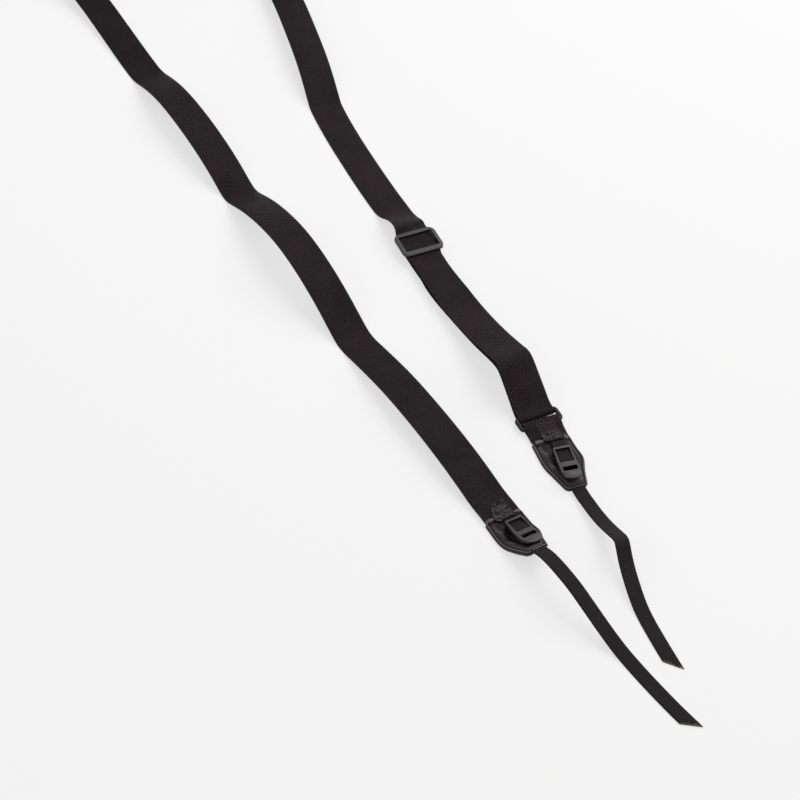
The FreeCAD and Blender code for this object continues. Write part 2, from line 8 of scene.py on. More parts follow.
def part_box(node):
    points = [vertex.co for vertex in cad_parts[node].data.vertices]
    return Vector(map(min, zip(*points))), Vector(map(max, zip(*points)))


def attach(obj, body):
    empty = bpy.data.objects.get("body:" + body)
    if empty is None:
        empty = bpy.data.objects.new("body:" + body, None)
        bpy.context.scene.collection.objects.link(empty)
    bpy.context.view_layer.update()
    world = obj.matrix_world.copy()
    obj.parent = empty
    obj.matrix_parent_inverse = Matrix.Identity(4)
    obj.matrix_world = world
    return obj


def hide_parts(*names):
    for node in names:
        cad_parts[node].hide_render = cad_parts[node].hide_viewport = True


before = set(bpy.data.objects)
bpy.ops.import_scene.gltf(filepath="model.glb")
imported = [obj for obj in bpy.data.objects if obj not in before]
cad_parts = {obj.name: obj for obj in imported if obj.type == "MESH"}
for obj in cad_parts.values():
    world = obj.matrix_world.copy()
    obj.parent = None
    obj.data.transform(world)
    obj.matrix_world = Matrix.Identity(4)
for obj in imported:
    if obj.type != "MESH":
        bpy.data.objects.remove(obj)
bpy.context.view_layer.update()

C, D, ops = bpy.context, bpy.data, bpy.ops
MM = 0.001

# ---------------------------------------------------------------- camera
# A long lens looks down onto the two end tabs, from behind the tails and a little to the left,
# so that the strap runs away from the viewer.
ops.object.camera_add(location=(-0.4534, -1.0218, 0.9179))
camera = C.object
camera.name = "camera"
camera.data.lens = 85
camera.data.sensor_width = 36
camera.data.clip_start = 0.01
looking_at = Vector((-0.051, -0.232, 0.0))
camera.rotation_euler = (looking_at - camera.location).to_track_quat("-Z", "Y").to_euler()
C.scene.camera = camera
C.scene.view_settings.view_transform = "Standard"

# ---------------------------------------------------------------- the strap's webbing
# One length of black nylon webbing, an inch wide, woven in fine offset columns, with flat
# selvedges. It starts inside the left tab, goes round behind the neck, down through the
# slider, round the ring and back under itself to the slider's centre bar.
STRAP_WIDTH, STRAP_THICK = 0.0254, 0.0012
STRAP_ROUTE = [
    (-0.04023, -0.36819, 0.00208), (-0.0408, -0.3498, 0.00208), (-0.0421, -0.338, 0.0029),
    (-0.0432, -0.324, 0.0062), (-0.0447, -0.302, 0.0096), (-0.0468, -0.268, 0.0112),
    (-0.0494, -0.228, 0.01), (-0.0513, -0.198, 0.0054), (-0.0522, -0.182, 0.0022),
    (-0.0528, -0.173, 0.0006), (-0.0533, -0.164, 0.0006), (-0.0539, -0.152, 0.0056),
    (-0.0547, -0.134, 0.0134), (-0.0559, -0.106, 0.0212), (-0.0572, -0.074, 0.0244),
    (-0.0584, -0.044, 0.0204), (-0.0595, -0.018, 0.013), (-0.0603, 0, 0.0054),
    (-0.0607, 0.011, 0.0006), (-0.0611, 0.02, 0.0006), (-0.0619, 0.034, 0.0062),
    (-0.0629, 0.054, 0.0118), (-0.0642, 0.084, 0.0159), (-0.0656, 0.118, 0.0166),
    (-0.0665, 0.144, 0.0132), (-0.0673, 0.166, 0.007), (-0.0676, 0.179, 0.0022),
    (-0.068, 0.189, 0.0006), (-0.0683, 0.199, 0.0006), (-0.0689, 0.216, 0.0013),
    (-0.0698, 0.246, 0.003), (-0.071, 0.278, 0.0052), (-0.0729, 0.305, 0.0078),
    (-0.0753, 0.327, 0.0102), (-0.075, 0.348, 0.012), (-0.0685, 0.368, 0.0127),
    (-0.053, 0.385, 0.0128), (-0.027, 0.3975, 0.0128), (0.002, 0.4015, 0.0128),
    (0.03, 0.3965, 0.0128), (0.054, 0.381, 0.0128), (0.0695, 0.357, 0.0128),
    (0.0759, 0.331, 0.0128), (0.0774, 0.305, 0.0127), (0.0769, 0.28, 0.0124),
    (0.0759, 0.255, 0.012), (0.0739, 0.231, 0.0118), (0.07, 0.207, 0.0119), (0.062, 0.17, 0.0136),
    (0.0548, 0.136, 0.0132), (0.0494, 0.112, 0.0104), (0.0456, 0.095, 0.0052),
    (0.0441, 0.087, 0.0017), (0.0436, 0.0845, 0.0006), (0.0431, 0.082, 0.0006),
    (0.0421, 0.076, 0.0006), (0.0403, 0.063, 0.0006),
    (0.0377, 0.038, 0.0006), (0.0357, 0.01, 0.0006), (0.0342, -0.014, 0.0006),
    (0.0333, -0.033, 0.0006), (0.033, -0.043, 0.0006), (0.0327, -0.053, 0.0008),
    (0.03245, -0.0625, 0.0026), (0.0323, -0.0705, 0.0056), (0.032, -0.0785, 0.0094),
    (0.0318, -0.0835, 0.0104), (0.0316, -0.088, 0.0071), (0.03063, -0.1012, 0.0062),
    (0.02928, -0.12, 0.0062),
    (0.02715, -0.148, 0.0062), (0.0266, -0.164, 0.0063), (0.0265, -0.179, 0.0067),
    (0.0262, -0.197, 0.0088), (0.0255, -0.219, 0.014), (0.0251, -0.232, 0.0179),
    (0.0247, -0.242, 0.0212), (0.0245, -0.249, 0.0237), (0.02435, -0.2543, 0.0233),
    (0.024, -0.262, 0.0182), (0.0233, -0.273, 0.0112), (0.02236, -0.2829, 0.0054),
    (0.02206, -0.2898, 0.0052), (0.02206, -0.2898, 0.0008), (0.02233, -0.2836, 0.001),
    (0.0231, -0.275, 0.0064), (0.0238, -0.2645, 0.0136), (0.0242, -0.2565, 0.0192),
    (0.0244, -0.2505, 0.0204), (0.0249, -0.237, 0.0168), (0.0255, -0.219, 0.0116),
    (0.0262, -0.197, 0.0074), (0.0265, -0.181, 0.0053), (0.0266, -0.169, 0.0038),
    (0.0268, -0.159, 0.0028), (0.0273, -0.148, 0.0021), (0.0280, -0.138, 0.0008),
    (0.0289, -0.125, 0.0006),
]


def smooth_line(points):
    """The smooth line that webbing takes along a route."""
    curve = D.curves.new("route", "CURVE")
    curve.dimensions = "3D"
    spline = curve.splines.new("NURBS")
    spline.points.add(len(points) - 1)
    for point, place in zip(spline.points, points):
        point.co = (*place, 1.0)
    spline.order_u = 3
    spline.use_endpoint_u = True
    spline.resolution_u = 12
    guide = D.objects.new("route", curve)
    C.scene.collection.objects.link(guide)
    mesh = D.meshes.new_from_object(guide)
    line = [v.co.copy() for v in mesh.vertices]
    D.objects.remove(guide)
    D.curves.remove(curve)
    D.meshes.remove(mesh)
    return line


def ease(value, start, end):
    """0 before start, 1 after end, and a smooth rise between them."""
    t = min(1.0, max(0.0, (value - start) / (end - start)))
    return t * t * (3 - 2 * t)


def webbing(name, line, width, thick, roll=None, ripple=0.0, place=None, end_slant=0.0,
            lean=None):
    """Flat webbing along a line, with rounded selvedges. Its UV map holds metres across and
    along the webbing. A slack fold may lean further out at one selvedge."""
    across_steps = [-1, -0.97, -0.9, -0.75, -0.5, -0.25, 0, 0.25, 0.5, 0.75, 0.9, 0.97, 1]
    section = [(u, (1 - 0.55 * abs(u) ** 24) * 0.5) for u in across_steps]
    section = section + [(1.012, 0.0)] + [(u, -h) for u, h in reversed(section)] + [(-1.012, 0.0)]
    rings, marks, distance, level = [], [], 0.0, None
    for i, middle in enumerate(line):
        along = (line[min(i + 1, len(line) - 1)] - line[max(i - 1, 0)]).normalized()
        side = Vector((0, 0, 1)).cross(along)
        if side.length < 0.3:
            side = level
        side = (side - along * side.dot(along)).normalized()
        if level is not None and side.dot(level) < 0:
            side = -side
        level = side
        distance += (middle - line[max(i - 1, 0)]).length
        face = along.cross(side)
        if roll is not None:
            turn = Matrix.Rotation(math.radians(roll(middle)), 3, along)
            side, face = turn @ side, turn @ face
        ring = []
        for u, h in section:
            lift = ripple * abs(u) ** 3 * math.sin(distance / 0.021 + 1.3 * (u > 0))
            shift = 0.0
            if end_slant and i > len(line) - 30:
                left = sum((line[k + 1] - line[k]).length for k in range(i, len(line) - 1))
                shift = width / 2 * u * end_slant * max(0.0, 1 - left / (width * end_slant * 1.6))
            at = middle + side * (u * width / 2) + face * (h * thick + lift) + along * shift
            ring.append(at if lean is None else at + lean(at))
        rings.append(ring)
        marks.append(distance)
    count = len(section)
    points = [p if place is None else place @ p for ring in rings for p in ring]
    faces = [(i * count + k, i * count + (k + 1) % count, (i + 1) * count + (k + 1) % count,
              (i + 1) * count + k) for i in range(len(rings) - 1) for k in range(count)]
    faces += [tuple(range(count)), tuple((len(rings) - 1) * count + k for k in range(count))]
    mesh = D.meshes.new(name)
    mesh.from_pydata(points, [], faces)
    weave = mesh.uv_layers.new(name="weave")
    for loop in mesh.loops:
        u = section[loop.vertex_index % count][0]
        weave.data[loop.index].uv = (u * width / 2, marks[loop.vertex_index // count])
    shell = bmesh.new()
    shell.from_mesh(mesh)
    bmesh.ops.recalc_face_normals(shell, faces=shell.faces)
    shell.to_mesh(mesh)
    shell.free()
    piece = D.objects.new(name, mesh)
    C.scene.collection.objects.link(piece)
    for polygon in mesh.polygons:
        polygon.use_smooth = len(polygon.vertices) == 4
    return piece


class Socket:
    """One output in a finish, so that shader maths is written as an expression."""

    def __init__(self, finish, socket):
        self.finish, self.socket = finish, socket

    def join(self, operation, first, second=0.0):
        return self.finish.node("ShaderNodeMath", {"operation": operation},
                                {0: first, 1: second})

    def __add__(self, other):
        return self.join("ADD", self, other)

    def __sub__(self, other):
        return self.join("SUBTRACT", self, other)

    def __rsub__(self, other):
        return self.join("SUBTRACT", other, self)

    def __mul__(self, other):
        return self.join("MULTIPLY", self, other)

    def __truediv__(self, other):
        return self.join("DIVIDE", self, other)

    def __pow__(self, other):
        return self.join("POWER", self, other)

    def __abs__(self):
        return self.join("ABSOLUTE", self)


class Finish:
    """A procedural material. Constants go straight onto the shader's sockets."""

    def __init__(self, name, **constants):
        self.material = D.materials.new(name)
        self.material.use_nodes = True
        self.tree = self.material.node_tree
        self.shader = self.tree.nodes["Principled BSDF"]
        for socket, value in constants.items():
            self.shader.inputs[socket.replace("_", " ")].default_value = value

    def node(self, kind, settings, inputs, output=0):
        made = self.tree.nodes.new(kind)
        for setting, value in settings.items():
            setattr(made, setting, value)
        for socket, value in inputs.items():
            if isinstance(value, Socket):
                self.tree.links.new(value.socket, made.inputs[socket])
            else:
                made.inputs[socket].default_value = value
        return Socket(self, made.outputs[output])

    def feed(self, socket, value):
        self.tree.links.new(value.socket, self.shader.inputs[socket])

    def sine(self, value):
        return self.node("ShaderNodeMath", {"operation": "SINE"}, {0: value})

    def floor(self, value):
        return self.node("ShaderNodeMath", {"operation": "FLOOR"}, {0: value})

    def clamp(self, value):
        return self.node("ShaderNodeClamp", {}, {"Value": value})

    def step(self, value, start, end):
        return self.node("ShaderNodeMapRange", {"interpolation_type": "SMOOTHSTEP"},
                         {"Value": value, "From Min": start, "From Max": end})

    def mix(self, factor, first, second):
        return self.node("ShaderNodeMix", {"data_type": "RGBA"},
                         {0: factor, 6: first, 7: second}, 2)

    def noise(self, where, scale, detail):
        return self.node("ShaderNodeTexNoise", {},
                         {"Vector": where, "Scale": scale, "Detail": detail})

    def object_place(self):
        return self.node("ShaderNodeTexCoord", {}, {}, "Object")

    def axes(self, vector):
        return [self.node("ShaderNodeSeparateXYZ", {}, {0: vector}, k) for k in range(3)]

    def weave_axes(self):
        return self.axes(self.node("ShaderNodeUVMap", {"uv_map": "weave"}, {}))

    def bump(self, height, distance, strength):
        self.feed("Normal", self.node("ShaderNodeBump", {}, {
            "Height": height, "Distance": distance, "Strength": strength}))


strap_finish = Finish("strap_webbing", Specular_IOR_Level=0.1)
f = strap_finish
u, v, _ = f.weave_axes()
column = u / 0.00145
yarn = abs(f.sine(column * math.pi)) ** 0.6
pick = f.sine(v * (2 * math.pi / 0.0026) + f.floor(column) * math.pi)
height = yarn * (pick * 0.5 + 0.5)
# The selvedges are painted lighter, as a highlight along the ply's edge.
selvedge_highlight = f.step(abs(u), 0.0115, 0.0121)
place = f.object_place()
uneven = f.noise(place, 750, 3)
broad = f.noise(place, 38, 3)
# The far part of the strap, towards the neck, is painted darker as shade.
painted_far_shade = f.step(f.axes(place)[1], 0.05, 0.22)
shade = f.clamp(height * 0.34 + uneven * 1.0 + broad * 0.6 - 0.66 + selvedge_highlight * 0.3
                - painted_far_shade * 0.16)
f.feed("Base Color", f.mix(shade, (0.0054, 0.0024, 0.0033, 1), (0.040, 0.0262, 0.0310, 1)))
f.feed("Roughness", uneven * 0.3 + 0.42)
f.bump(height * 0.8 + uneven * 0.9, 0.0005, 0.9)


def strap_roll(at):
    """The neck loop lies on its edge, and turns flat again along both sides. Just above the
    slider the strap arches with its left selvedge higher."""
    if at.y < 0.2:
        arch = ease(-at.y, 0.050, 0.074) * (1 - ease(-at.y, 0.0845, 0.0925))
        return -13 * arch if at.x > 0 else 0.0
    if at.x < 0:
        return 90 * ease(at.y, 0.300, 0.388)
    return 90 * ease(at.y, 0.225, 0.338)


HALF_STRAP = 0.0127
DRAWN_IN, TUCKED_IN = 0.0018, 0.0010


def strap_lean(at):
    """The slack fold round the ring hangs lower, and lowest at its left selvedge. Below the
    slider the upper ply is drawn in a little, and so is the start of the ply under it."""
    if at.x < 0 or at.y > -0.1:
        return Vector()
    fold = ease(-at.y, 0.2845, 0.2895)
    drawn = ease(-at.y, 0.112, 0.119) * (1 - ease(-at.y, 0.128, 0.165))
    drawn *= ease(at.z, 0.0052, 0.0056)
    tucked = (1 - ease(-at.y, 0.130, 0.150)) * (at.z < 0.0045)
    middle = 0.0297 + 0.074 * (at.y + 0.114)
    return Vector((-DRAWN_IN * drawn * ease(at.x, middle, middle + HALF_STRAP)
                   + TUCKED_IN * tucked * ease(-at.x, -middle, -middle + HALF_STRAP),
                   fold * (-0.0009 - 0.00035 * (0.0347 - at.x) / STRAP_WIDTH), 0))


strap_line = smooth_line(STRAP_ROUTE)
strap = webbing("strap", strap_line, STRAP_WIDTH, STRAP_THICK, strap_roll, 0.00012,
                lean=strap_lean)
strap.data.materials.append(strap_finish.material)
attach(strap, "strap")
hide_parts("strap_webbing")

# ---------------------------------------------------------------- the narrow tails
# Thinner, narrower webbing with fine ribs across it, sewn into the tip of each tab. Its end is
# cut on the slant and sealed by heat, so that it threads through a camera's lug and back into
# the buckle.
TAIL_WIDTH, TAIL_THICK = 0.0095, 0.0011
LEFT_TAIL_ROUTE = [
    (-0.0398, -0.38184, 0.00577), (-0.03918, -0.40158, 0.01717), (-0.03885, -0.4115, 0.0202),
    (-0.038, -0.423, 0.0209), (-0.0361, -0.436, 0.0186), (-0.0339, -0.451, 0.013),
    (-0.0315, -0.465, 0.007), (-0.0292, -0.477, 0.0022), (-0.0277, -0.487, 0.00055),
    (-0.0263, -0.501, 0.00055), (-0.0242, -0.517, 0.00055), (-0.0219, -0.532, 0.00055),
    (-0.0199, -0.5423, 0.00055),
]
RIGHT_TAIL_ROUTE = [
    (0.01679, -0.3384, 0.00188), (0.01404, -0.36073, 0.00188), (0.0133, -0.37, 0.003),
    (0.0126, -0.381, 0.0039), (0.0117, -0.394, 0.007), (0.0103, -0.407, 0.013),
    (0.0094, -0.415, 0.0168), (0.0082, -0.419, 0.0162), (0.0067, -0.425, 0.0108),
    (0.0046, -0.433, 0.007), (0.0016, -0.445, 0.0038), (-0.0008, -0.456, 0.0015),
    (-0.0023, -0.466, 0.00055), (-0.0039, -0.4795, 0.00055), (-0.0053, -0.4932, 0.00055),
    (-0.0060, -0.5016, 0.00055),
]

# The finish turns to a sealed end with painted highlights where the UV map's length reaches
# this, as it does on a tail's cut end alone. The buckles' loops have the same finish and are
# far shorter.
SEALED_AT = 1.0
tail_finish = Finish("tail_webbing", Specular_IOR_Level=0.18)
f = tail_finish
u, v, _ = f.weave_axes()
cord = abs(f.sine(u * (math.pi / 0.00095)))
rib = f.sine(v * (2 * math.pi / 0.0013))
place = f.object_place()
uneven = f.noise(place, 1100, 3)
broad = f.noise(place, 45, 3)
height = cord ** 0.5 * 0.5 + rib * 0.6
shade = f.clamp(cord * 0.12 + rib * 0.34 + uneven * 0.8 + broad * 0.5 - 0.42)
# The melted end is smoother, and its light golden speckles are painted highlights.
sealed_end_glints = f.step(v, SEALED_AT - 0.0016, SEALED_AT - 0.0009) * f.step(f.noise(place, 1500, 2),
                                                                   0.46, 0.6)
woven = f.mix(shade, (0.0042, 0.0028, 0.0034, 1), (0.0285, 0.0222, 0.0245, 1))
f.feed("Base Color", f.mix(sealed_end_glints, woven, (0.30, 0.25, 0.19, 1)))
f.feed("Roughness", uneven * 0.22 + 0.55 - sealed_end_glints * 0.3)
f.bump(height + uneven * 0.5, 0.00022, 0.9)

for side, route, length in (("left", LEFT_TAIL_ROUTE, 0.1736),
                            ("right", RIGHT_TAIL_ROUTE, 0.1759)):
    line = smooth_line(route)
    tail = webbing(side + "_tail", line, TAIL_WIDTH, TAIL_THICK, ripple=0.00006, end_slant=1.05)
    run = sum((b - a).length for a, b in zip(line, line[1:]))
    for corner in tail.data.uv_layers["weave"].data:
        corner.uv.y += SEALED_AT - run
    tail.data.materials.append(tail_finish.material)
    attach(tail, "strap" if side == "left" else "right_end")
    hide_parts(side + "_tail_webbing")

# ---------------------------------------------------------------- slider and its sewn end
# A black moulded three-bar slider: a flat frame with rounded corners over the strap and a
# lower centre bar under it. The strap's own end goes round that bar and is sewn back on
# itself with a boxed row of thread.
SLIDER_AT, SLIDER_YAW = Vector((0.0306, -0.1020, 0.0)), -4.2
slider_place = Matrix.Translation(SLIDER_AT) @ Matrix.Rotation(math.radians(SLIDER_YAW), 4, "Z")
# How far off the middle the arms reach at most, where the right rail starts and how much lower
# it is moulded, and how far off a level still counts as on it.
ARM_OUTSIDE, RIGHT_RAIL, RAIL_DROP, LEVEL_SLACK = 0.0142, 0.0125, 0.0006, 0.0004

plastic = Finish("moulded_plastic", Specular_IOR_Level=0.5)
f = plastic
place = f.object_place()
grain = f.noise(place, 2600, 2)
broad = f.noise(place, 140, 2)
# Faces turned sideways or down are painted dark as shade, flat tops a little darker and the
# sloping bevels lightest, as painted highlights.
facing_up = f.axes(f.node("ShaderNodeTexCoord", {}, {}, "Normal"))[2]
painted_light_by_facing = f.step(facing_up, 0.1, 0.6) * (1 - f.step(facing_up, 0.9, 0.985) * 0.42)
f.feed("Base Color", f.mix(f.clamp((broad * 0.6 + grain * 0.3 + 0.22) * painted_light_by_facing),
                           (0.0066, 0.0050, 0.0056, 1), (0.089, 0.075, 0.080, 1)))
f.feed("Roughness", grain * 0.18 + broad * 0.1 + 0.36)
f.bump(grain, 0.00006, 0.5)


def rounded_copy(node, name, round_by):
    """A rigid piece with its faces merged and its edges rounded as a mould leaves them."""
    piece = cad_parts[node].copy()
    piece.data = piece.data.copy()
    piece.name = piece.data.name = name
    piece.parent = None
    piece.matrix_world = Matrix.Identity(4)
    C.scene.collection.objects.link(piece)
    ops.object.select_all(action="DESELECT")
    piece.hide_set(False)
    piece.select_set(True)
    C.view_layer.objects.active = piece
    ops.object.mode_set(mode="EDIT")
    ops.mesh.select_all(action="SELECT")
    ops.mesh.remove_doubles(threshold=1e-6)
    ops.mesh.dissolve_limited(angle_limit=math.radians(1.5))
    ops.object.mode_set(mode="OBJECT")
    soften = piece.modifiers.new("round", "BEVEL")
    soften.width = round_by
    soften.segments = 3
    soften.limit_method = "ANGLE"
    soften.angle_limit = math.radians(32)
    soften.use_clamp_overlap = True
    ops.object.modifier_apply(modifier="round")
    ops.object.shade_smooth_by_angle(angle=math.radians(38))
    return piece


slider = rounded_copy("slider", "slider_frame", 0.5 * MM)
slider.data.materials.clear()
slider.data.materials.append(plastic.material)
rail_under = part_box("slider")[1][2] - 2.25 * MM
for v in slider.data.vertices:
    at = slider_place.inverted() @ v.co
    if abs(at.x) > ARM_OUTSIDE and at.z < rail_under - LEVEL_SLACK:
        at.x = math.copysign(ARM_OUTSIDE, at.x)
    if at.x > RIGHT_RAIL and abs(at.z - rail_under) < LEVEL_SLACK:
        at.z -= RAIL_DROP
    v.co = slider_place @ at
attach(slider, "slider")
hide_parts("slider")

END_LOOP_ROUTE = [
    (0, -0.033, 0.0048), (0, -0.021, 0.0037), (0, -0.007, 0.0036), (0, -0.003, 0.0021),
    (0, 0.0037, 0.00205), (0, 0.0037, 0.00475), (0, -0.0042, 0.00475), (0, -0.0086, 0.0049),
    (0, -0.020, 0.00495),
]


def end_loop_lean(at):
    """The sewn end lies a little to the left of the ply above it."""
    return Vector((-0.0009 * ease(-at.x, 0.0, HALF_STRAP)
                   - 0.0022 * ease(at.x, 0.0, HALF_STRAP), 0, 0))


end_loop = webbing("sewn_end", smooth_line(END_LOOP_ROUTE), STRAP_WIDTH, STRAP_THICK,
                   place=slider_place, lean=end_loop_lean)
end_loop.data.materials.append(strap_finish.material)
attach(end_loop, "slider")
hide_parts("strap_end_loop")

thread_finish = Finish("thread", Specular_IOR_Level=0.4, Roughness=0.38)
f = thread_finish
place = f.object_place()
twist = f.noise(place, 620, 3)
f.feed("Base Color", f.mix(f.clamp(twist * 2.6 - 1.0), (0.0045, 0.0033, 0.0042, 1),
                           (0.082, 0.070, 0.080, 1)))
f.bump(twist, 0.0001, 0.6)

ops.object.select_all(action="DESELECT")
ops.mesh.primitive_cylinder_add(vertices=8, radius=1.0, depth=1.0)
stitch = C.object
stitch.name = "stitch"
ops.object.mode_set(mode="EDIT")
ops.mesh.select_all(action="SELECT")
ops.mesh.bevel(offset=0.12, segments=2, affect="EDGES")
ops.object.mode_set(mode="OBJECT")
stitch_mesh = stitch.data.copy()
D.objects.remove(stitch)


def sew(name, threads, radius):
    """One piece made of a copy of the stitch for every pair of points."""
    bundle = bmesh.new()
    for start, end in threads:
        known = len(bundle.verts)
        bundle.from_mesh(stitch_mesh)
        run = end - start
        turn = run.to_track_quat("Z", "Y").to_matrix().to_4x4()
        fit = (Matrix.Translation((start + end) / 2) @ turn
               @ Matrix.Diagonal((radius, radius, run.length + radius, 1)))
        bundle.verts.ensure_lookup_table()
        bmesh.ops.transform(bundle, matrix=fit, verts=bundle.verts[known:])
    mesh = D.meshes.new(name)
    bundle.to_mesh(mesh)
    bundle.free()
    for polygon in mesh.polygons:
        polygon.use_smooth = True
    mesh.materials.append(thread_finish.material)
    piece = D.objects.new(name, mesh)
    C.scene.collection.objects.link(piece)
    return piece


# Distance from one stitch to the next, and the part of it that shows as thread.
BOX_PITCH, SHOWN = 0.0027, 0.7


def run_of_stitches(start, end):
    """Stitches in line from start to end."""
    count = max(1, int((end - start).length / BOX_PITCH))
    step = (end - start) / count
    return [(start + step * k, start + step * (k + SHOWN)) for k in range(count)]


BOX_HALF, BOX_TOP, BOX_LOW, SEWN_LEVEL = 0.0102, -0.0115, -0.0180, 0.00555
corners = [Vector((x, y, SEWN_LEVEL)) for x, y in (
    (-BOX_HALF, BOX_TOP), (BOX_HALF, BOX_TOP), (BOX_HALF, BOX_LOW), (-BOX_HALF, BOX_LOW))]
threads = []
for k in range(4):
    threads += run_of_stitches(corners[k], corners[(k + 1) % 4])
threads += run_of_stitches(corners[0], corners[2])
threads = [(slider_place @ a, slider_place @ b) for a, b in threads]
boxed = sew("sewn_end_stitches", threads, 0.00022)
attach(boxed, "slider")
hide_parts("strap_end_stitching")

# ---------------------------------------------------------------- rectangular ring
# Round steel bar bent into a rectangle and painted gloss black. The strap turns round one
# long side and the connector round the other, so only its short sides and corners show.
ring_paint = Finish("black_metal", Specular_IOR_Level=0.3, Coat_Weight=0.12, Coat_Roughness=0.3)
f = ring_paint
place = f.object_place()
lightening = f.noise(place, 420, 3)
f.feed("Base Color", f.mix(f.clamp(lightening * 1.6 - 0.5), (0.006, 0.006, 0.007, 1),
                           (0.022, 0.021, 0.024, 1)))
f.feed("Roughness", lightening * 0.25 + 0.44)
f.bump(lightening, 0.00004, 0.4)
ring = rounded_copy("ring", "ring_bar", 0.05 * MM)
ring.data.materials.clear()
ring.data.materials.append(ring_paint.material)
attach(ring, "ring")
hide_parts("ring")

# ---------------------------------------------------------------- connector
# A short piece of the same webbing, folded round the ring's other bar. Its upper ply is held
# inside the right tab, and a block of close rows of thread sews the two plies together.
CONNECTOR_ROUTE = [
    (0.01865, -0.32321, 0.00188), (0.02093, -0.30465, 0.00188), (0.02164, -0.2994, 0.00515),
    (0.02182, -0.29539, 0.0052), (0.02182, -0.29539, 0.0008), (0.0216, -0.3005, 0.00062),
    (0.0206, -0.3094, 0.0006),
]
connector_line = smooth_line(CONNECTOR_ROUTE)


def connector_lean(at):
    """The slack fold round the ring reaches nearer the strap's, and nearest at its left."""
    fold = ease(at.y, -0.3000, -0.2958)
    return Vector((0, 0.0010 + 0.0016 * max(0.0, 0.0345 - at.x) / STRAP_WIDTH, 0)) * fold


connector = webbing("connector", connector_line, STRAP_WIDTH, STRAP_THICK, lean=connector_lean)
connector.data.materials.append(strap_finish.material)
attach(connector, "right_end")
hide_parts("connector_webbing")

tab_axis = Vector((-0.12187, -0.99255, 0))
tab_side = Vector((0.99255, -0.12187, 0))
block_start = Vector((0.02295, -0.2993, 0.0))
upper_ply = connector_line[:len(connector_line) // 2]


def on_ply(at):
    """The same place, on top of the connector's upper ply."""
    nearest = min(upper_ply, key=lambda p: (p.xy - at.xy).length)
    return Vector((at.x, at.y, nearest.z + STRAP_THICK / 2 + 0.0002))


threads = []
random.seed(4)
for row in range(9):
    for k in range(7):
        start = (block_start + tab_axis * (row * 0.00092 + 0.0001 * k)
                 + tab_side * (-0.0064 + k * 0.00185 + random.uniform(-0.00015, 0.00015)))
        end = start + tab_side * 0.00165 + tab_axis * random.uniform(-0.0002, 0.0003)
        threads.append((on_ply(start), on_ply(end)))
red_thread = Finish("connector_thread", Specular_IOR_Level=0.5, Roughness=0.45)
f = red_thread
twist = f.noise(f.object_place(), 1500, 2)
f.feed("Base Color", f.mix(f.clamp(twist * 1.8 - 0.5), (0.012, 0.005, 0.007, 1),
                           (0.070, 0.031, 0.041, 1)))
f.bump(twist, 0.0001, 0.6)
block = sew("connector_stitches", threads, 0.0003)
block.data.materials.clear()
block.data.materials.append(red_thread.material)
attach(block, "right_end")
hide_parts("connector_stitching")

# ---------------------------------------------------------------- leather end tabs
# Each tab is two panels of grained black leather round a stiffener, stitched round a flat rim
# and turned over at the top beside the bar tack. The left tab has taken a bend, so its tip
# stands up off the surface.
TAB_LENGTH, LEATHER, PANEL_TOP = 44.5, 1.25, 3.76
# An ear of the turned edge has its ends across the tab, its middle down it, how far it rises
# and how much lighter its fold is painted, as wear and as a painted highlight on the raised fold.
# Rails has how much of each side rail of the buckle is left, left then right, tack_top how far up
# the bar tack reaches, and the last entry how much lighter the tip is painted.
TABS = {
    "left": {"at": (-0.0406, -0.3563, 0.0002), "yaw": 1.8, "bend": 30.0, "offset": 2.1,
             "askew": -0.5, "lift": 12.5, "top_bar": -7.7, "body": "strap",
             "tack_top": 12.4, "rails": (0.9, 0.4),
             "ears": [(-12.4, -6.4, -0.4, 2.3, 1.5), (6.2, 11.9, 0.7, 1.0, 1.1)],
             "tip_lighter": 0.0},
    "right": {"at": (0.0201, -0.3114, 0.0), "yaw": -7.0, "bend": 0.0, "offset": 2.7,
              "askew": -6.0, "lift": 0.0, "top_bar": -11.9, "body": "right_end",
              "tack_top": 4.4, "rails": (0.7, 0.5),
              "ears": [(-11.6, -5.2, 0.9, 1.2, 2.0), (8.2, 11.9, 2.6, 0.6, 1.5)],
              "tip_lighter": 0.75},
}
BEND_START, BEND_END = 11.5, 27.5
# Creases that run out from under the buckle: ends across and down the tab, height, width.
CREASES = [(-11.0, 5.5, -7.6, 19.0, 0.5, 1.0), (-7.8, 3.2, -4.6, 9.5, 0.45, 0.9),
           (-10.0, 2.6, -6.2, 3.6, 0.35, 0.8), (-6.6, 15.0, -4.4, 27.5, -0.55, 1.4),
           (-9.6, 22.5, -5.2, 29.0, 0.5, 1.0), (-8.4, 10.0, -6.6, 14.0, 0.4, 1.6),
           (9.4, 8.0, 10.2, 20.0, 0.35, 0.9), (-5.8, 30.5, -2.0, 36.5, 0.3, 1.3),
           (7.6, 30.0, 6.0, 37.5, 0.3, 0.9)]


def tab_half(s):
    """Half width of a tab at a distance below its top edge."""
    profile = [(0, 12.9), (1.2, 13.25), (9, 13.4), (17, 13.5), (21, 13.25), (24.5, 12.6),
               (28, 11.6), (41.2, 8.1), (43.2, 7.4), (44.5, 5.7)]
    for (s0, h0), (s1, h1) in zip(profile, profile[1:]):
        if s <= s1:
            t = max(0.0, (s - s0) / (s1 - s0))
            return h0 + (h1 - h0) * t
    return profile[-1][1]


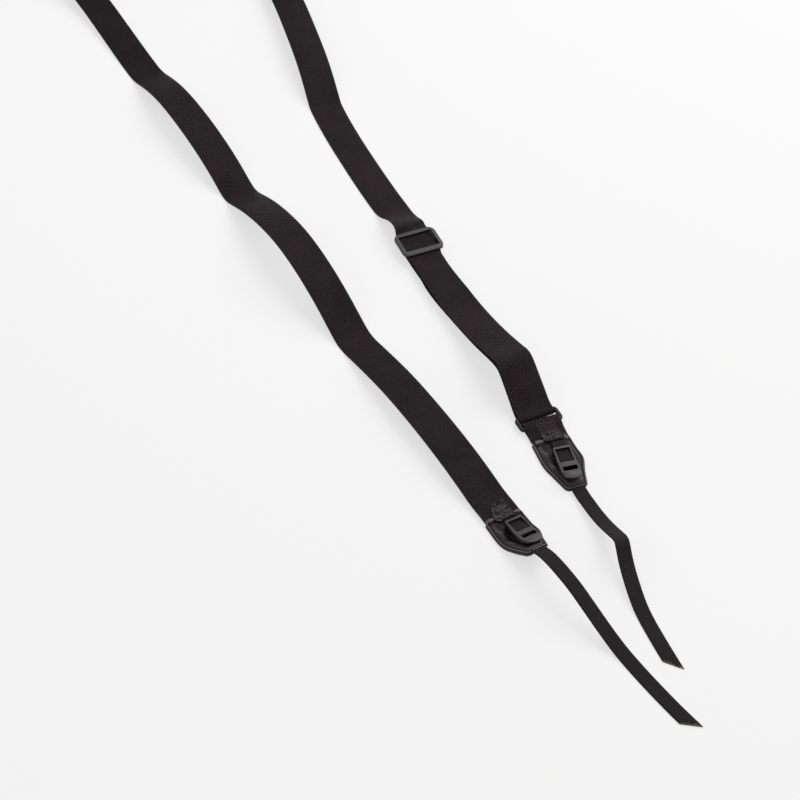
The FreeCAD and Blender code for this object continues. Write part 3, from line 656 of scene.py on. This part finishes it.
def tab_point(tab, x, s, z):
    """A point given across, down and above a flat tab, where the bent tab has it."""
    across, down, up = x + 1.1 * (x > 0) * math.exp(-((s - 22) / 7) ** 2), s, z
    if tab["bend"]:
        z += 0.16 * min(0.0, x + 1.0) * ease(s, 16, 38)
        up = z
        total = math.radians(tab["bend"])
        arc = BEND_END - BEND_START
        radius = arc / total
        t = min(max(s - BEND_START, 0.0), arc)
        angle = t / radius
        down = min(s, BEND_START) + (radius - z) * math.sin(angle)
        up = radius - (radius - z) * math.cos(angle)
        past = max(0.0, s - BEND_END)
        down, up = down + past * math.cos(angle), up + past * math.sin(angle)
    turn = Matrix.Rotation(math.radians(tab["yaw"]), 3, "Z")
    return Vector(tab["at"]) + turn @ (Vector((across, -down, up)) * MM)


def ridge(x, s, x0, s0, x1, s1, height, width):
    """Height that a crease between two points adds."""
    dx, ds = x1 - x0, s1 - s0
    t = min(1.0, max(0.0, ((x - x0) * dx + (s - s0) * ds) / (dx * dx + ds * ds)))
    away = math.hypot(x - x0 - dx * t, s - s0 - ds * t)
    fade = math.sin(math.pi * min(1.0, max(0.0, t * 0.8 + 0.1))) ** 0.7
    return height * fade * math.exp(-(away / width) ** 2)


def over_ear(x, start, end):
    """1 over an ear of the turned edge, 0 beside it."""
    return ease(x, start - 0.5, start + 0.7) * (1 - ease(x, end - 0.7, end + 0.5))


# Lines along the rim painted lighter, as edge wear and as painted highlights on its ridges, or
# darker, as painted shade in the stitch groove: how much, how far in and how wide.
RIM_LIGHT_AND_WEAR_LINES = [(1.3, 0.6, 0.36), (-0.5, 1.75, 0.4), (0.7, 2.7, 0.45), (0.45, 3.9, 0.5)]


def front_height(tab, x, s):
    """Upper surface of the front panel, and how much lighter or darker it is painted: wear,
    painted highlights on its folds and ridges, and painted shade in its groove, dips and creases.
    """
    half = tab_half(s)
    edge = min(half - abs(x), (TAB_LENGTH - s) * 1.02)
    rim, flat = 2.75, PANEL_TOP
    z = rim + (flat - rim) * ease(edge, 2.15, 3.7)
    z -= 0.75 * (1 - min(1.0, edge / 0.9)) ** 2.2
    z -= 0.32 * math.exp(-((edge - 1.75) / 0.42) ** 2)
    top = 1 - ease(s, 0.0, 4.5)
    z = z + (flat - 0.1 - z) * top * ease(edge, 0.2, 1.6)
    lightening = sum(much * math.exp(-((edge - middle) / width) ** 2)
               for much, middle, width in RIM_LIGHT_AND_WEAR_LINES)
    for start, end, middle, _, wear_and_painted_light in tab["ears"]:
        over = over_ear(x, start, end)
        fold, dip = (math.exp(-((s - middle) / 1.05) ** 2),
                     math.exp(-((s - middle - 2.2) / 0.75) ** 2))
        # The fold is painted lighter, as wear and a painted highlight; the dip behind it, painted
        # shade.
        z += over * (1.15 * fold - 0.55 * dip)
        lightening += over * (wear_and_painted_light * fold - 1.0 * dip)
    # A patch near the tip is painted lighter.
    lightening += tab["tip_lighter"] * math.exp(-((s - 39.0) / 1.9) ** 2 - ((x - 1.0) / 5.0) ** 2)
    for crease in CREASES:
        add = ridge(x, s, *crease) * ease(edge, 1.6, 3.4)
        # Raised creases are painted lighter as highlights, sunken ones darker as painted shade.
        z += add
        lightening += 0.8 * add
    z += 0.16 * noise.noise(Vector((x * 0.35, s * 0.28, 1.7))) * ease(edge, 1.0, 4.0)
    z += 0.05 * noise.noise(Vector((x * 1.1, s * 1.0, 5.1)))
    return z, lightening


leather = Finish("tab_leather", Specular_IOR_Level=0.18)
f = leather
place = f.object_place()
grain = f.node("ShaderNodeTexVoronoi", {"feature": "SMOOTH_F1"},
               {"Vector": place, "Scale": 1150.0, "Smoothness": 0.6})
pores = f.noise(place, 2100, 2)
broad = f.noise(place, 85, 3)
# The attribute holds wear together with painted highlights and painted shade.
wear_and_painted_light = f.node("ShaderNodeAttribute", {"attribute_name": "wear_and_painted_light"}, {}, "Fac")
shade = f.clamp(broad * 0.75 + wear_and_painted_light * 0.95 + pores * 0.35 - 0.67)
f.feed("Base Color", f.mix(shade, (0.0058, 0.0033, 0.0046, 1), (0.150, 0.124, 0.135, 1)))
f.feed("Roughness", pores * 0.25 + broad * 0.15 + 0.3)
f.bump(pores * 0.4 - grain * 0.8, 0.00022, 0.8)

for side, tab in TABS.items():
    for layer in ("front", "back"):
        ops.object.select_all(action="DESELECT")
        ops.mesh.primitive_grid_add(x_subdivisions=70, y_subdivisions=112, size=1)
        panel = C.object
        panel.name = panel.data.name = side + "_tab_" + layer + "_panel"
        ops.object.mode_set(mode="EDIT")
        ops.mesh.select_all(action="SELECT")
        ops.mesh.extrude_region_move(TRANSFORM_OT_translate={"value": (0, 0, -0.2)})
        ops.object.mode_set(mode="OBJECT")
        panel.location = (0, 0, 0)
        # How much lighter or darker each point is painted: wear, painted highlights, painted
        # shade.
        wear_and_light_layer = panel.data.attributes.new("wear_and_painted_light", "FLOAT", "POINT")
        extra = 0.0 if layer == "front" else 0.35
        for v in panel.data.vertices:
            upper = v.co.z > -0.1
            a, b = v.co.x * 2, 0.5 - v.co.y
            a = math.sin(a * math.pi / 2) * 0.35 + a * 0.65
            s = b * (TAB_LENGTH + extra)
            x = a * (tab_half(min(s, TAB_LENGTH)) + extra)
            lightening = 0.0
            if layer == "front":
                for start, end, _, rise, _ in tab["ears"]:
                    s -= rise * over_ear(x, start, end) * (1 - ease(s, 0, 7))
                z, lightening = front_height(tab, x, s)
                if not upper:
                    z = LEATHER + 0.02
            else:
                edge = min(tab_half(min(s, TAB_LENGTH)) + extra - abs(x),
                           TAB_LENGTH + extra - s)
                lip = 0.45 * (1 - min(1.0, edge / 0.5)) ** 2
                z = LEATHER - 0.03 - lip if upper else lip
                lightening = math.exp(-(edge / 0.5) ** 2)
            wear_and_light_layer.data[v.index].value = lightening
            v.co = tab_point(tab, x, s, z)
        ops.object.mode_set(mode="EDIT")
        ops.mesh.select_all(action="SELECT")
        ops.mesh.normals_make_consistent(inside=False)
        ops.object.mode_set(mode="OBJECT")
        ops.object.shade_smooth_by_angle(angle=math.radians(50))
        panel.data.materials.append(leather.material)
        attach(panel, tab["body"])
        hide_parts(side + "_tab_" + layer)

    threads = []
    for direction in (-1, 1):
        s = 4.2
        while s < TAB_LENGTH - 3.4:
            ends = []
            for at in (s, s + 1.9):
                x = direction * (tab_half(at) - 1.75)
                ends.append(tab_point(tab, x, at, front_height(tab, x, at)[0] + 0.1))
            threads.append(tuple(ends))
            s += 2.75
    for x in (-4.6, -1.7, 1.2, 4.1):
        s = TAB_LENGTH - 1.75
        threads.append(tuple(tab_point(tab, x + reach, s, front_height(tab, x + reach, s)[0] + 0.1)
                             for reach in (-0.9, 0.9)))
    seam = sew(side + "_tab_stitches", threads, 0.00024)
    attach(seam, tab["body"])
    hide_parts(side + "_tab_stitching")

# ---------------------------------------------------------------- stiffener
# A plain sheet of fibre board sealed between each tab's panels. It only shows when the tab is
# taken apart, and has a dull, slightly fibrous surface.
board = Finish("stiffener", Specular_IOR_Level=0.3, Roughness=0.8)
f = board
fibres = f.noise(f.object_place(), 700, 4)
f.feed("Base Color", f.mix(fibres, (0.06, 0.058, 0.055, 1), (0.14, 0.135, 0.13, 1)))
for side in TABS:
    for material_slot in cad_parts[side + "_tab_stiffener"].material_slots:
        material_slot.material = board.material

# ---------------------------------------------------------------- bar tacks
# The ends of each buckle loop lie on the tab's turned edge and are sewn down through the tab and
# the wide webbing with a thick, uneven block of zigzag thread.
LOOP_THICK, HINGE_Y, PIVOT_Z = 0.8, -5.4, 4.86
# The tack is left bare this far to each side of the loop's middle, below this height, so that
# the buckle can be lifted.
BARE_HALF, BARE_BELOW = 5.9 * MM, -3.4


def on_tab(tab, lifted=False):
    """Where a buckle's loop is on its tab: askew, and lifted at the far end if asked."""
    at = Matrix.Translation(Vector(tab["at"])) @ Matrix.Rotation(math.radians(tab["yaw"]), 4, "Z")
    fold = Vector((tab["offset"], HINGE_Y, 0)) * MM
    at = at @ Matrix.Translation(fold) @ Matrix.Rotation(math.radians(tab["askew"]), 4, "Z")
    at = at @ Matrix.Translation((0, -HINGE_Y * MM, 0))
    if lifted:
        line = Vector((0, HINGE_Y, PIVOT_Z)) * MM
        at = (at @ Matrix.Translation(line)
              @ Matrix.Rotation(math.radians(-tab["lift"]), 4, "X") @ Matrix.Translation(-line))
    return at


def scaled(route):
    """A route given in millimetres, in metres."""
    return [Vector(p) * MM for p in route]


for side, tab in TABS.items():
    place = on_tab(tab)
    route = [(0, 5.2, 3.3), (0, 2.9, 3.4), (0, 1.3, 4.55), (0, -0.6, 4.7), (0, -4.2, 4.65)]
    loop_end = webbing(side + "_loop_ends", smooth_line(scaled(route)), 0.0102, 0.0016,
                       place=place)
    loop_end.data.materials.append(tail_finish.material)
    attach(loop_end, tab["body"])
    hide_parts(side + "_loop_end")

    random.seed(11)
    threads = []
    y = tab["tack_top"]
    while y > -4.6:
        loose = y > 9.5
        left = -8.9 + 0.56 * max(0.0, y - 2.6) + 0.6 * max(0.0, -1.0 - y)
        right = 3.7 - 0.3 * max(0.0, -1.0 - y)
        left, right = left + random.uniform(-0.5, 0.5), right + random.uniform(-0.6, 0.6)
        count = int((right - left) / 0.62)
        points = []
        for k in range(count + 1):
            x = left + (right - left) * k / count
            wander = noise.noise(Vector((x * 0.45, y * 0.5, 3.3)))
            over_loop = 1 - ease(abs(x), 4.8, 6.0)
            base = 3.35 + (2.35 - over_loop * 0.2) * (1 - ease(y, 0.2, 2.4 + 1.2 * over_loop))
            base = max(base, 4.45 * over_loop * (y < 5.6))
            sway = (0.55 if k % 2 else -0.55) * random.uniform(0.6, 1.3)
            points.append(place @ (Vector((x, y + sway + 0.7 * wander, base + 0.5 * wander
                                           + random.uniform(-0.15, 0.4))) * MM))
        kept = [pair for pair in zip(points, points[1:])
                if random.random() > (0.65 if loose else 0.16)]
        threads += [pair for pair in kept if y > BARE_BELOW
                    or min(abs((place.inverted() @ end).x) for end in pair) > BARE_HALF]
        y -= 0.7
    tack = sew(side + "_bar_tack", threads, 0.00032)
    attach(tack, tab["body"])
    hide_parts(side + "_bartack")

# ---------------------------------------------------------------- buckles on their loops
# A moulded ladder-lock buckle hangs on a short loop of narrow webbing round its anchor bar. It
# has a window with the loop's fold in it, a slot for the tail and a raised thumb lip.
TOP_BAR, WINDOW, RAIL_INSIDE = 2.2, 12.0, 5.1 * MM
for side, tab in TABS.items():
    place = on_tab(tab, lifted=True)
    top_bar = tab["top_bar"]
    low = PANEL_TOP + 0.25 + LOOP_THICK / 2
    turn = 0.95 + LOOP_THICK / 2
    anchor = top_bar - TOP_BAR - WINDOW + turn + LOOP_THICK / 2 + 0.3
    route = [(0, HINGE_Y, low), (0, anchor - turn, low), (0, anchor - turn, low + 2 * turn),
             (0, anchor + 1.6, low + 2 * turn), (0, top_bar - TOP_BAR - 0.4, low + 0.9),
             (0, HINGE_Y, low + 0.9)]
    loop = webbing(side + "_buckle_webbing", smooth_line(scaled(route)), TAIL_WIDTH,
                   LOOP_THICK * MM, place=place)
    loop.data.materials.append(tail_finish.material)
    body = side + "_buckle"
    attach(loop, body)
    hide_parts(side + "_buckle_loop")

    buckle = rounded_copy(side + "_buckle", side + "_ladder_lock", 0.3 * MM)
    for v in buckle.data.vertices:
        at = place.inverted() @ v.co
        if abs(at.x) > RAIL_INSIDE:
            rail = tab["rails"][at.x > 0]
            at.x = math.copysign(RAIL_INSIDE + (abs(at.x) - RAIL_INSIDE) * rail, at.x)
        v.co = place @ at
    buckle.data.materials.clear()
    buckle.data.materials.append(plastic.material)
    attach(buckle, body)
    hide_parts(side + "_buckle")

# ---------------------------------------------------------------- floor and light
# A plain pale surface with a broad, low light from the right and an even white surrounding.
ops.object.select_all(action="DESELECT")
ops.mesh.primitive_plane_add(size=8, location=(0, 0, 0))
floor = C.object
floor.name = "floor"
surface = Finish("floor", Base_Color=(0.9, 0.9, 0.9, 1), Roughness=0.9, Specular_IOR_Level=0.1)
seen = surface.node("ShaderNodeLightPath", {}, {}, "Is Camera Ray")
mirrored = surface.node("ShaderNodeLightPath", {}, {}, "Is Glossy Ray")
glow = surface.node("ShaderNodeEmission", {}, {"Color": (0.942, 0.935, 0.934, 1), "Strength": 1.0},
                    "Emission")
plain = Socket(surface, surface.shader.outputs["BSDF"])
GLOW_SHARE = 0.68
lit = surface.node("ShaderNodeMixShader", {},
                   {0: (seen + mirrored) * GLOW_SHARE, 1: plain, 2: glow}, "Shader")
surface.tree.links.new(lit.socket, surface.tree.nodes["Material Output"].inputs["Surface"])
floor.data.materials.append(surface.material)

world = D.worlds.new("surrounding")
C.scene.world = world
world.use_nodes = True
sky = world.node_tree
around = sky.nodes["Background"]
around.inputs["Color"].default_value = (1, 1, 1, 1)
around.inputs["Strength"].default_value = 0.6
backdrop = sky.nodes.new("ShaderNodeBackground")
backdrop.inputs["Color"].default_value = (0.93, 0.93, 0.93, 1)
backdrop.inputs["Strength"].default_value = 1.0
chosen = sky.nodes.new("ShaderNodeMixShader")
sky.links.new(sky.nodes.new("ShaderNodeLightPath").outputs["Is Camera Ray"], chosen.inputs[0])
sky.links.new(around.outputs[0], chosen.inputs[1])
sky.links.new(backdrop.outputs[0], chosen.inputs[2])
sky.links.new(chosen.outputs[0], sky.nodes["World Output"].inputs["Surface"])

ops.object.light_add(type="AREA", location=(1.1, 0.35, 1.5))
lamp = C.object
lamp.name = "soft_light"
lamp.data.size = 1.6
lamp.data.energy = 24
lamp.rotation_euler = (Vector((0, -0.15, 0)) - lamp.location).to_track_quat("-Z", "Y").to_euler()
